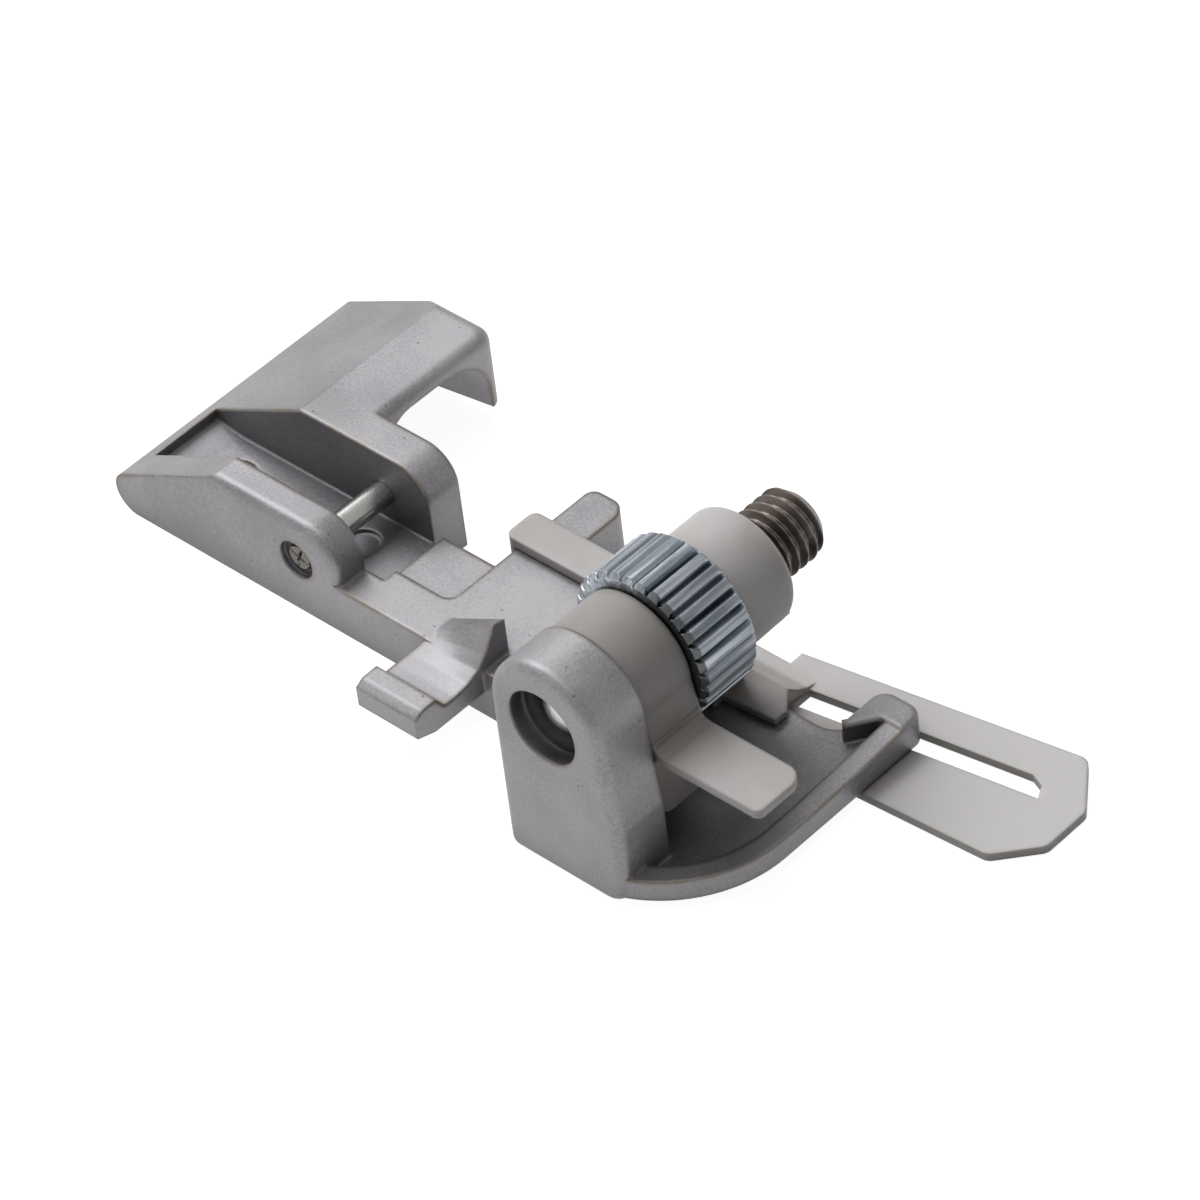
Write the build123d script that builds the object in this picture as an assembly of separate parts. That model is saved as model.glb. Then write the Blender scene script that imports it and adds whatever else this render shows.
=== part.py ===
from build123d import *
import math
import os

# Adjustable presser foot: a die-cast body, a snap pin, a threaded stud, a knurled thumb nut and a nylon guide.
# Millimetres. +X runs to the toe, +Y to the free end of the stud and +Z up.
# The origin lies on the sole plane, under the snap pin's axis, on the middle plane of the ankle channel.

# Stud and its place
stud_radius = 2.5
stud_x = 28.6
stud_height = 12.0
stud_sunk = 1.2
stud_reach = 4.7
stud_chamfer = 0.5
stud_clearance = 0.05

# Ear that carries the stud
ear_outer_y = -12.3
ear_thickness = 4.0
ear_radius = 4.55
ear_rear_width = 4.3
ear_front_width = 5.2
ear_flare_drop = 6.0
ear_mouth_clearance = 0.12
ear_edge_radius = 0.7
ear_heel_radius = 0.8
ear_nose_radius = 1.6

# Nylon guide: hubs, legs, web, finger tab, tail and slotted plate; X sizes are counted from the stud's axis
side_gap = 0.12
near_hub_length = 4.2
near_hub_radius = 4.25
near_leg_front = 4.75
near_leg_rear = 4.25
near_leg_foot_z = 4.2
near_leg_foot_round = 1.1
near_leg_flare_z = 9.9
far_hub_length = 4.65
far_hub_radius = 4.1
far_hub_rim_round = 0.8
far_leg_near_y = 2.6
far_leg_rear = 3.8
far_leg_shoulder_x = 0.9
far_leg_shoulder_z = 6.4
far_leg_foot_x = -1.0
web_front = -1.6
web_rear = 4.3
web_top_gap = 0.75
guide_lift = 0.1
tab_top_z = 9.4
tab_thickness = 0.6
tab_reach = 12.85
tab_inset = 0.06
tab_corner = 1.2
tab_near_corner = 0.5
tab_blend = 0.75
flange_thickness = 0.45
flange_near_y = 3.3
flange_front = 3.0
flange_wall = 0.6
flange_wall_gap = 0.3
plate_thickness = 0.6
plate_lift = 0.1
plate_near_y = 2.45
plate_near_rise = 0.058
plate_far_y = 10.1
plate_far_rise = 0.169
plate_rear_x = -0.6
plate_root_x = -4.0
plate_root_far_y = 9.0
plate_shoulder_x = 19.2
plate_tip_x = 21.9
plate_tip_y = 9.9
plate_tip_length = 3.6
plate_nose_x = 19.5
plate_corner = 0.9
slot_rear_x = 1.9
slot_front_x = 18.4
slot_near_y = 6.35
slot_width = 1.6
slot_rise = 0.163
tail_tip_x = 9.1
tail_width = 2.7
tail_far_y = 6.9
tail_thickness = 0.7
tail_gap = 0.1
tail_corner = 0.6
tail_hook_drop = 0.7

# Thumb nut
nut_length = 4.8
nut_radius = 5.23
nut_tooth_depth = 0.42
nut_tooth_count = 30
nut_chamfer = 0.32

# Sole plate, cross, neck and toe
sole_near_y = -5.1
sole_far_y = 5.3
sole_top = 3.8
neck_far_y = 2.5
cross_rear_x = 9.95
cross_width = 3.0
far_bar_end_y = 11.2
far_bar_corner = 1.2
patch_near_y = -1.7
patch_rear_x = 5.3
patch_corner = 0.8
patch_depth = 0.3
step_setback = 6.0
toe_relief = 0.8
toe_floor = 0.7
rim_height = 1.5
rim_width = 1.4
toe_front_x = 38.9
toe_arc_radius = 9.0
toe_arc_y = -3.8
knob_reach_x = 3.4
knob_near_y = 5.1
knob_inner_y = 6.9
knob_inner_inset = 1.8
knob_end_y = 9.1
knob_rise = 0.65
knob_ramp_y = -1.5
knob_corner = 1.1
knob_edge_radius = 0.3
far_corner_radius = 2.0

# Near scoop wing
scoop_rear_x = 10.9
scoop_front_x = 15.9
scoop_floor_z = 3.6
scoop_thickness = 1.4
scoop_lip_y = -11.0
scoop_lip_width = 2.5
scoop_lip_height = 0.95
scoop_bend_y = -7.6
scoop_wall_y = -4.7
scoop_crest_y = -2.8
scoop_crest_height = 3.1

# Rear block: ankle channel and far-side hood
channel_width = 5.5
near_cheek = 2.35
far_cheek = 2.75
block_top = 7.5
block_rear_x = -16.0
block_rear_z = 2.9
block_ridge_x = -6.9
block_nose = 0.6
block_heel = 1.0
near_cheek_front_x = 3.6
near_cheek_round = 2.7
far_cheek_front_x = 4.0
far_cheek_round = 2.3
channel_floor_z = 2.2
channel_rear_x = -15.1
channel_ramp_x = -12.9
channel_ramp_rise = 0.9
cheek_edge_radius = 0.7
hood_far_y = 15.9
hood_front_x = -2.2
hood_roof = 0.95
hood_leg = 1.1
hood_near_round = 2.4
hood_far_round = 3.6
hood_front_edge = 1.3
hood_far_edge = 0.9
hook_bottom_z = 1.7
hook_rear_x = -12.4
ejector_radius = 1.25
ejector_depth = 0.2
ejector_front_x = 0.4
ejector_rear_x = -10.6

# Snap pin
pin_radius = 0.87
pin_x = 0.0
pin_z = 4.3
pin_mouth_radius = 1.4
pin_mouth_depth = 0.45
pin_far_seat = 1.6


def prism_y(face_points, y_from, y_to):
    """Solid whose outline lies in the XZ plane, drawn out from one Y to another."""
    outline = Polyline(*[(x, y_from, z) for x, z in face_points], close=True)
    return extrude(make_face(outline), (y_to - y_from), dir=(0, 1, 0))


def prism_z(face_points, z_from, z_to):
    """Solid whose outline lies in the XY plane, drawn up from one Z to another."""
    outline = Polyline(*[(x, y, z_from) for x, y in face_points], close=True)
    return extrude(make_face(outline), (z_to - z_from), dir=(0, 0, 1))


def box_between(x_span, y_span, z_span):
    """Box given by its low and high X, Y and Z."""
    size = [high - low for low, high in (x_span, y_span, z_span)]
    middle = [(high + low) / 2 for low, high in (x_span, y_span, z_span)]
    return Pos(*middle) * Box(*size)


def rod_y(radius, y_from, y_to, x, z):
    """Round bar along Y."""
    centre = (x, (y_from + y_to) / 2, z)
    return Pos(*centre) * Rot(90, 0, 0) * Cylinder(radius, y_to - y_from)


def edges_along_y(solid, x, z, reach=0.02):
    """Straight edges parallel to Y that lie at the given X and Z."""
    found = []
    for edge in solid.edges().filter_by(Axis.Y):
        middle = edge @ 0.5
        if abs(middle.X - x) < reach and abs(middle.Z - z) < reach:
            found.append(edge)
    return found


def edges_along_z(solid, x, y, reach=0.02):
    """Straight edges parallel to Z that lie at the given X and Y."""
    found = []
    for edge in solid.edges().filter_by(Axis.Z):
        middle = edge @ 0.5
        if abs(middle.X - x) < reach and abs(middle.Y - y) < reach:
            found.append(edge)
    return found


# Places worked out from the sizes above
step_x = stud_x - step_setback
ear_inner_y = ear_outer_y + ear_thickness
near_hub_y = ear_inner_y + side_gap
near_hub_end_y = near_hub_y + near_hub_length
nut_y = near_hub_end_y + side_gap
nut_end_y = nut_y + nut_length
far_hub_y = nut_end_y + side_gap
far_hub_end_y = far_hub_y + far_hub_length
stud_start_y = ear_outer_y + stud_sunk
stud_end_y = far_hub_end_y + stud_reach
channel_near_y = -channel_width / 2
channel_far_y = channel_width / 2
block_near_y = channel_near_y - near_cheek
block_far_y = channel_far_y + far_cheek
toe_floor_z = toe_relief + toe_floor
rim_top_z = toe_relief + rim_height
rim_inner_x = toe_front_x - rim_width
cross_front_x = cross_rear_x + cross_width
link_rear_x = stud_x - ear_rear_width + ear_heel_radius
slope = (block_top - block_rear_z) / (block_ridge_x - block_rear_x)


def roof_z(x):
    """Height of the block's sloping rear face at a given X."""
    return block_rear_z + slope * (x - block_rear_x)


def rounded_block(y_from, y_to, front_x, front_round):
    """One cheek of the rear block: sloping rear face, level top, rounded front corner and rounded nose."""
    nose_x = block_rear_x - block_nose
    profile = [
        Line((nose_x + block_heel * 1.5, y_from, 0), (front_x, y_from, 0)),
        Line((front_x, y_from, 0), (front_x, y_from, block_top - front_round)),
        ThreePointArc(
            (front_x, y_from, block_top - front_round),
            (
                front_x - front_round * (1 - math.cos(math.pi / 4)),
                y_from,
                block_top - front_round * (1 - math.sin(math.pi / 4)),
            ),
            (front_x - front_round, y_from, block_top),
        ),
        Line((front_x - front_round, y_from, block_top), (block_ridge_x, y_from, block_top)),
        Line((block_ridge_x, y_from, block_top), (block_rear_x, y_from, block_rear_z)),
        Bezier(
            (block_rear_x, y_from, block_rear_z),
            (nose_x - block_nose * 0.5, y_from, block_rear_z - slope * block_nose * 1.5),
            (nose_x - block_nose * 0.6, y_from, 0.12 * block_rear_z),
            (nose_x + block_heel * 1.5, y_from, 0),
        ),
    ]
    return extrude(make_face(Wire(profile)), y_to - y_from, dir=(0, 1, 0))


def make_hood():
    """Thin arched hood beside the far cheek: a roof that bends down into an outer leg with a hooked front."""
    nose_x = block_rear_x - block_nose
    heel_x = nose_x + block_heel * 1.5
    y_from = block_far_y - far_cheek / 2
    profile = [
        Line((heel_x, y_from, 0), (hook_rear_x, y_from, 0)),
        Line((hook_rear_x, y_from, 0), (hood_front_x, y_from, hook_bottom_z)),
        Line((hood_front_x, y_from, hook_bottom_z), (hood_front_x, y_from, block_top)),
        Line((hood_front_x, y_from, block_top), (block_ridge_x, y_from, block_top)),
        Line((block_ridge_x, y_from, block_top), (block_rear_x, y_from, block_rear_z)),
        Bezier(
            (block_rear_x, y_from, block_rear_z),
            (nose_x - block_nose * 0.5, y_from, block_rear_z - slope * block_nose * 1.5),
            (nose_x - block_nose * 0.6, y_from, 0.12 * block_rear_z),
            (heel_x, y_from, 0),
        ),
    ]
    hood = extrude(make_face(Wire(profile)), hood_far_y - y_from, dir=(0, 1, 0))
    hood = fillet(edges_along_z(hood, hood_front_x, hood_far_y), hood_front_edge)
    far_top = [e for e in hood.edges() if (e @ 0.5).Y > hood_far_y - 0.01 and (e @ 0.5).Z > block_top - 0.01]
    hood = fillet(far_top, hood_far_edge)

    arch_low = -1.0
    arch = Polyline(
        (hood_front_x + 1, block_far_y, arch_low),
        (hood_front_x + 1, hood_far_y - hood_leg, arch_low),
        (hood_front_x + 1, hood_far_y - hood_leg, block_top - hood_roof),
        (hood_front_x + 1, block_far_y, block_top - hood_roof),
        close=True,
    )
    arch_solid = extrude(make_face(arch), hood_front_x + 1 - block_rear_x, dir=(-1, 0, 0))
    roof_edges = [e for e in arch_solid.edges().filter_by(Axis.X) if (e @ 0.5).Z > 0]
    near_edge, far_edge = sorted(roof_edges, key=lambda e: (e @ 0.5).Y)
    arch_solid = fillet(near_edge, hood_near_round)
    far_edge = [
        e
        for e in arch_solid.edges().filter_by(Axis.X)
        if abs((e @ 0.5).Y - (hood_far_y - hood_leg)) < 0.01 and (e @ 0.5).Z > 0
    ]
    arch_solid = fillet(far_edge, hood_far_round)

    drop = hood_roof * math.hypot(1, slope)
    void_rear_x = max(block_rear_x + (arch_low + drop + 1.2 - block_rear_z) / slope, block_rear_x + hood_roof)
    under_roof = prism_y(
        [
            (hood_front_x + 2, arch_low - 1),
            (hood_front_x + 2, block_top - hood_roof),
            (block_ridge_x + (hood_roof * slope) / 2, block_top - hood_roof),
            (void_rear_x, roof_z(void_rear_x) - drop),
            (void_rear_x, arch_low - 1),
        ],
        block_far_y - 1,
        hood_far_y + 1,
    )
    return hood - (arch_solid & under_roof)


def make_trough():
    """Space between the cheeks, over a floor that climbs a little at the rear."""
    return prism_y(
        [
            (patch_rear_x, channel_floor_z),
            (patch_rear_x, block_top + 1),
            (channel_rear_x, block_top + 1),
            (channel_rear_x, channel_floor_z + channel_ramp_rise * 0.4),
            (channel_ramp_x, channel_floor_z),
        ],
        channel_near_y,
        channel_far_y,
    )


def make_rear_block():
    """Two cheeks, the channel floor between them and the hood."""
    near = rounded_block(block_near_y, channel_near_y, near_cheek_front_x, near_cheek_round)
    near_face = near.faces().sort_by(Axis.Y)[0]
    near_top = [e for e in near_face.edges() if (e @ 0.5).Z > block_top - near_cheek_round / 2]
    near = fillet(near_top, cheek_edge_radius)
    far = rounded_block(channel_far_y, block_far_y, far_cheek_front_x, far_cheek_round)
    middle = rounded_block(channel_near_y, channel_far_y, patch_rear_x, near_cheek_round)
    block = near + far + (middle - make_trough())
    for x in (ejector_front_x, ejector_rear_x):
        block = block - Pos(x, 0, channel_floor_z) * Cylinder(ejector_radius, 2 * ejector_depth)
    return block


def make_neck_and_sole():
    """Neck strip with its sunk patch, cross with the far bar, sole plate and the relieved toe floor."""
    neck = box_between((near_cheek_front_x - 2, cross_front_x), (sole_near_y, neck_far_y), (0, sole_top))
    neck = neck - make_trough()
    patch = box_between(
        (patch_rear_x, cross_rear_x), (patch_near_y, neck_far_y + 1), (sole_top - patch_depth, sole_top + 1)
    )
    patch = fillet(edges_along_z(patch, cross_rear_x, patch_near_y), patch_corner)
    neck = neck - patch
    cross = box_between((cross_rear_x, cross_front_x), (sole_near_y, far_bar_end_y), (0, sole_top))
    cross = fillet(edges_along_z(cross, cross_front_x, far_bar_end_y), far_bar_corner)
    cross = fillet(edges_along_z(cross, cross_rear_x, far_bar_end_y), far_bar_corner * 0.6)
    sole = box_between((cross_front_x - 0.5, step_x), (sole_near_y, sole_far_y), (0, sole_top))
    return neck + cross + sole


def make_toe():
    """Shallow dish with a rim: straight front bar with a far knob, a quarter-round wall towards the ear."""
    arc_end_angle = math.radians(-66)
    arc_start = (toe_front_x, toe_arc_y, toe_relief)
    centre_x = toe_front_x - toe_arc_radius
    half_angle = arc_end_angle / 2

    def on_arc(radius, angle):
        return (centre_x + radius * math.cos(angle), toe_arc_y + radius * math.sin(angle), toe_relief)

    end = on_arc(toe_arc_radius, arc_end_angle)
    outline = Wire(
        [
            Line(arc_start, (toe_front_x, knob_end_y, toe_relief)),
            Line((toe_front_x, knob_end_y, toe_relief), (toe_front_x - knob_reach_x, knob_end_y, toe_relief)),
            Line(
                (toe_front_x - knob_reach_x, knob_end_y, toe_relief),
                (toe_front_x - knob_reach_x, sole_far_y, toe_relief),
            ),
            Line((toe_front_x - knob_reach_x, sole_far_y, toe_relief), (step_x - 0.5, sole_far_y, toe_relief)),
            Line((step_x - 0.5, sole_far_y, toe_relief), (step_x - 0.5, sole_near_y, toe_relief)),
            Line((step_x - 0.5, sole_near_y, toe_relief), (link_rear_x, sole_near_y, toe_relief)),
            Line((link_rear_x, sole_near_y, toe_relief), (link_rear_x, ear_inner_y - 1, toe_relief)),
            Line((link_rear_x, ear_inner_y - 1, toe_relief), (stud_x, ear_inner_y - 1, toe_relief)),
            Line((stud_x, ear_inner_y - 1, toe_relief), end),
            ThreePointArc(end, on_arc(toe_arc_radius, half_angle), arc_start),
        ]
    )
    slab = extrude(make_face(outline), rim_height, dir=(0, 0, 1))
    far_corners = [
        edges_along_z(slab, toe_front_x, knob_end_y),
        edges_along_z(slab, toe_front_x - knob_reach_x, knob_end_y),
    ]
    slab = fillet(far_corners[0] + far_corners[1], knob_corner)
    slab = fillet(edges_along_z(slab, toe_front_x - knob_reach_x, sole_far_y), far_corner_radius)

    inner_radius = toe_arc_radius - rim_width
    inner_end = on_arc(inner_radius, arc_end_angle)
    lift = toe_floor_z - toe_relief

    def raised(point):
        return (point[0], point[1], point[2] + lift)

    inner_start = (rim_inner_x, toe_arc_y, toe_relief)
    knob_corner_point = (toe_front_x - knob_inner_inset, knob_inner_y, toe_relief)
    dish = Wire(
        [
            Line(raised(inner_start), raised((rim_inner_x, knob_inner_y - 0.6, toe_relief))),
            Line(raised((rim_inner_x, knob_inner_y - 0.6, toe_relief)), raised(knob_corner_point)),
            Line(raised(knob_corner_point), raised((toe_front_x - knob_reach_x + 0.3, knob_near_y, toe_relief))),
            Line(
                raised((toe_front_x - knob_reach_x + 0.3, knob_near_y, toe_relief)),
                raised((toe_front_x - knob_reach_x - 2, sole_far_y + 2, toe_relief)),
            ),
            Line(
                raised((toe_front_x - knob_reach_x - 2, sole_far_y + 2, toe_relief)),
                raised((step_x, sole_far_y + 2, toe_relief)),
            ),
            Line(raised((step_x, sole_far_y + 2, toe_relief)), raised((step_x, ear_inner_y, toe_relief))),
            Line(raised((step_x, ear_inner_y, toe_relief)), raised(inner_end)),
            ThreePointArc(raised(inner_end), raised(on_arc(inner_radius, half_angle)), raised(inner_start)),
        ]
    )
    hollow = extrude(make_face(dish), rim_height, dir=(0, 0, 1))
    knob = prism_z(
        [
            (toe_front_x, knob_inner_y),
            (toe_front_x - knob_inner_inset, knob_inner_y),
            (toe_front_x - knob_reach_x + 0.3, knob_near_y),
            (toe_front_x - knob_reach_x, knob_near_y + 0.5),
            (toe_front_x - knob_reach_x, knob_end_y),
            (toe_front_x, knob_end_y),
        ],
        toe_relief,
        rim_top_z + knob_rise,
    )
    knob_corners = edges_along_z(knob, toe_front_x, knob_end_y)
    knob_corners += edges_along_z(knob, toe_front_x - knob_reach_x, knob_end_y)
    knob = fillet(knob_corners, knob_corner)
    knob_top = knob.faces().sort_by(Axis.Z)[-1]
    knob = fillet(knob_top.edges(), knob_edge_radius)
    ramp = extrude(
        make_face(
            Polyline(
                (rim_inner_x, knob_ramp_y, rim_top_z - 0.3),
                (rim_inner_x, knob_ramp_y, rim_top_z),
                (rim_inner_x, knob_inner_y + 0.3, rim_top_z + 0.8 * knob_rise),
                (rim_inner_x, knob_inner_y + 0.3, rim_top_z - 0.3),
                close=True,
            )
        ),
        rim_width,
        dir=(1, 0, 0),
    )
    return slab - hollow + ramp + knob


def make_ear():
    """Arched ear that stands outside the near hub and carries the stud."""
    y = ear_outer_y
    top_z = stud_height
    flare_z = stud_height - ear_flare_drop
    front = math.radians(8)
    crown = [
        (ear_radius * math.cos(front), ear_radius * math.sin(front)),
        (0, ear_radius),
        (-ear_radius * math.cos(front) * ear_rear_width / ear_radius, ear_radius * math.sin(front)),
    ]
    outline = Wire(
        [
            Line((-ear_rear_width, y, 0), (ear_front_width, y, 0)),
            Line((ear_front_width, y, 0), (ear_front_width, y, flare_z)),
            Line((ear_front_width, y, flare_z), (crown[0][0], y, top_z + crown[0][1])),
            ThreePointArc(
                (crown[0][0], y, top_z + crown[0][1]),
                (0, y, top_z + crown[1][1]),
                (crown[2][0], y, top_z + crown[2][1]),
            ),
            Line((crown[2][0], y, top_z + crown[2][1]), (-ear_rear_width, y, 0)),
        ]
    )
    ear = extrude(make_face(outline), ear_thickness, dir=(0, 1, 0))
    ear = fillet(edges_along_y(ear, ear_front_width, 0), ear_nose_radius)
    ear = fillet(edges_along_y(ear, -ear_rear_width, 0), ear_heel_radius)
    outer_rim = ear.faces().sort_by(Axis.Y)[0].edges()
    ear = fillet(outer_rim, ear_edge_radius)
    return Pos(stud_x, 0, 0) * ear


def make_scoop():
    """Concave wing on the near side: a level floor with a raised lip, swept up to a crest at the front."""

    def section(x, crest):
        floor = scoop_floor_z
        under = scoop_floor_z - scoop_thickness
        sweep = scoop_wall_y + 1.0 - scoop_bend_y
        points = [
            (scoop_lip_y, under + scoop_thickness * 0.35),
            (scoop_lip_y, floor + scoop_lip_height * 0.6),
            (scoop_lip_y + scoop_lip_width * 0.25, floor + scoop_lip_height),
            (scoop_lip_y + scoop_lip_width * 0.75, floor + scoop_lip_height),
            (scoop_lip_y + scoop_lip_width, floor),
            (scoop_bend_y, floor),
            (scoop_bend_y + 0.3 * sweep, floor + crest * 0.05),
            (scoop_bend_y + 0.55 * sweep, floor + crest * 0.2),
            (scoop_bend_y + 0.75 * sweep, floor + crest * 0.44),
            (scoop_bend_y + 0.9 * sweep, floor + crest * 0.74),
            (scoop_bend_y + sweep, floor + crest),
            (scoop_crest_y, floor + crest * 0.92),
            (scoop_crest_y, under),
            (scoop_lip_y + scoop_lip_width * 0.6, under),
        ]
        return make_face(Polyline(*[(x, py, pz) for py, pz in points], close=True))

    return loft([section(scoop_rear_x, 0.15), section(scoop_front_x, scoop_crest_height)], ruled=True)


def make_body_casting():
    """The whole die casting with the stud's bore and the snap pin's seats."""
    casting = make_rear_block() + make_neck_and_sole() + make_toe() + make_ear() + make_scoop() + make_hood()
    foot_link = box_between((link_rear_x, stud_x + 3), (ear_inner_y - 1.5, sole_near_y + 1), (0, toe_floor_z))
    casting = casting + foot_link
    mouth = rod_y(stud_radius + ear_mouth_clearance, ear_outer_y - 1, stud_start_y, stud_x, stud_height)
    bore = rod_y(stud_radius, ear_outer_y - 1, ear_inner_y + 1, stud_x, stud_height)
    pin_seat = rod_y(pin_radius, block_near_y - 1, channel_far_y + pin_far_seat, pin_x, pin_z)
    pin_mouth = rod_y(pin_mouth_radius, block_near_y - 1, block_near_y + pin_mouth_depth, pin_x, pin_z)
    return casting - mouth - bore - pin_seat - pin_mouth


def make_snap_pin():
    """Cross pin that the ankle snaps over, sunk in both cheeks."""
    return rod_y(pin_radius, block_near_y + pin_mouth_depth * 0.5, channel_far_y + pin_far_seat, pin_x, pin_z)


def make_stud():
    """Stud screwed into the ear, with a chamfered free end. Its thread is left plain."""
    stud = rod_y(stud_radius, stud_start_y, stud_end_y, stud_x, stud_height)
    ends = [e for e in stud.edges().filter_by(GeomType.CIRCLE)]
    return chamfer(ends, stud_chamfer)


def make_thumb_nut():
    """Nut with straight V teeth and chamfered ends."""
    points = []
    for tooth in range(nut_tooth_count):
        for share, depth in ((0.0, nut_tooth_depth), (0.36, 0.0), (0.64, 0.0)):
            angle = 2 * math.pi * (tooth + share) / nut_tooth_count
            radius = nut_radius - depth
            points.append((stud_x + radius * math.cos(angle), stud_height + radius * math.sin(angle)))
    body = prism_y(points, nut_y, nut_end_y)
    barrel = rod_y(nut_radius + 0.01, nut_y, nut_end_y, stud_x, stud_height)
    barrel = chamfer([e for e in barrel.edges().filter_by(GeomType.CIRCLE)], nut_chamfer)
    bore = rod_y(stud_radius + stud_clearance, nut_y - 1, nut_end_y + 1, stud_x, stud_height)
    return (body & barrel) - bore


def make_near_leg():
    """Near hub with its leg: round over the stud, flared at the front, with a finger tab and a rounded foot."""
    y = near_hub_y
    tab_low = tab_top_z - tab_thickness
    outline = Wire(
        [
            ThreePointArc(
                (-near_hub_radius, y, stud_height),
                (0, y, stud_height + near_hub_radius),
                (near_hub_radius, y, stud_height),
            ),
            Line((near_hub_radius, y, stud_height), (near_leg_front, y, near_leg_flare_z)),
            Line((near_leg_front, y, near_leg_flare_z), (near_leg_front, y, near_leg_foot_z)),
            Line((near_leg_front, y, near_leg_foot_z), (web_front, y, near_leg_foot_z)),
            Line((web_front, y, near_leg_foot_z), (web_front, y, toe_floor_z + guide_lift)),
            Line((web_front, y, toe_floor_z + guide_lift), (-near_leg_rear, y, toe_floor_z + guide_lift)),
            Line((-near_leg_rear, y, toe_floor_z + guide_lift), (-near_hub_radius, y, stud_height)),
        ]
    )
    leg = extrude(make_face(outline), near_hub_length, dir=(0, 1, 0))
    foot_edges = [
        e
        for e in leg.edges().filter_by(Axis.X)
        if abs((e @ 0.5).Z - near_leg_foot_z) < 0.01 and abs((e @ 0.5).Y - near_hub_y) < 0.01
    ]
    leg = fillet(foot_edges, near_leg_foot_round)
    tab = box_between(
        (near_leg_front - 1, tab_reach),
        (near_hub_y + tab_inset, near_hub_end_y - tab_inset),
        (tab_low, tab_top_z),
    )
    tab = fillet(edges_along_z(tab, tab_reach, near_hub_end_y - tab_inset), tab_corner)
    tab = fillet(edges_along_z(tab, tab_reach, near_hub_y + tab_inset), tab_near_corner)
    blend = prism_y(
        [
            (near_leg_front - 0.3, tab_top_z - 0.2),
            (near_leg_front + tab_blend, tab_top_z - 0.2),
            (near_leg_front + tab_blend, tab_top_z),
            (near_leg_front + 0.45 * tab_blend, tab_top_z + 0.12 * tab_blend),
            (near_leg_front + 0.12 * tab_blend, tab_top_z + 0.45 * tab_blend),
            (near_leg_front, tab_top_z + tab_blend),
            (near_leg_front - 0.3, tab_top_z + tab_blend),
        ],
        near_hub_y + tab_inset,
        near_hub_end_y - tab_inset,
    )
    return leg + tab + blend


def make_far_leg():
    """Far hub with its tapered leg, the flange over the dish and the wall outside the sole's far edge."""
    base_z = toe_floor_z + guide_lift
    flange_top = base_z + flange_thickness
    hub = rod_y(far_hub_radius, far_hub_y, far_hub_end_y, 0, stud_height)
    hub_rim = hub.edges().filter_by(GeomType.CIRCLE).sort_by(Axis.Y)[-1]
    hub = fillet(hub_rim, far_hub_rim_round)
    side = far_hub_radius * math.cos(math.radians(30))
    leg = prism_y(
        [
            (-far_leg_rear, stud_height),
            (side, stud_height),
            (side, stud_height - far_hub_radius * 0.5),
            (far_leg_shoulder_x, far_leg_shoulder_z),
            (far_leg_foot_x, base_z + 2.5),
            (far_leg_foot_x, base_z),
            (-far_leg_rear, base_z),
        ],
        far_leg_near_y,
        far_hub_end_y - far_hub_rim_round * 0.5,
    )
    upper_leg = prism_y(
        [
            (-far_leg_rear, stud_height),
            (side, stud_height),
            (side, stud_height - far_hub_radius * 0.5),
            (far_leg_shoulder_x, far_leg_shoulder_z),
            (-far_leg_rear, far_leg_shoulder_z),
        ],
        far_hub_y,
        far_leg_near_y + 0.5,
    )
    wall_near_y = sole_far_y + flange_wall_gap
    flange = prism_z(
        [
            (-far_leg_rear, flange_near_y),
            (far_leg_foot_x - 1.2, flange_near_y),
            (flange_front, flange_near_y + 0.4),
            (flange_front, flange_near_y + 1.4),
            (slot_rear_x - 0.1, wall_near_y + flange_wall),
            (-far_leg_rear, wall_near_y + flange_wall),
        ],
        base_z,
        flange_top,
    )
    wall_span = (wall_near_y, wall_near_y + flange_wall)
    wall = box_between((-far_leg_rear, slot_rear_x - 0.1), wall_span, (plate_lift, flange_top))
    root_top = plate_lift + plate_thickness
    ramp_end_y = plate_root_far_y - 0.3
    ramp_span = ramp_end_y - wall_near_y - flange_wall
    ramp = extrude(
        make_face(
            Polyline(
                (-far_leg_rear, wall_near_y, plate_lift + 0.1),
                (-far_leg_rear, wall_near_y, flange_top),
                (-far_leg_rear, wall_near_y + flange_wall, flange_top),
                (-far_leg_rear, ramp_end_y - 0.65 * ramp_span, root_top + 0.45 * (flange_top - root_top)),
                (-far_leg_rear, ramp_end_y - 0.3 * ramp_span, root_top + 0.12 * (flange_top - root_top)),
                (-far_leg_rear, ramp_end_y, root_top),
                (-far_leg_rear, ramp_end_y, plate_lift + 0.1),
                close=True,
            )
        ),
        far_leg_rear + slot_rear_x - 0.1,
        dir=(1, 0, 0),
    )
    return hub + leg + upper_leg + flange + wall + ramp


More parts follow.
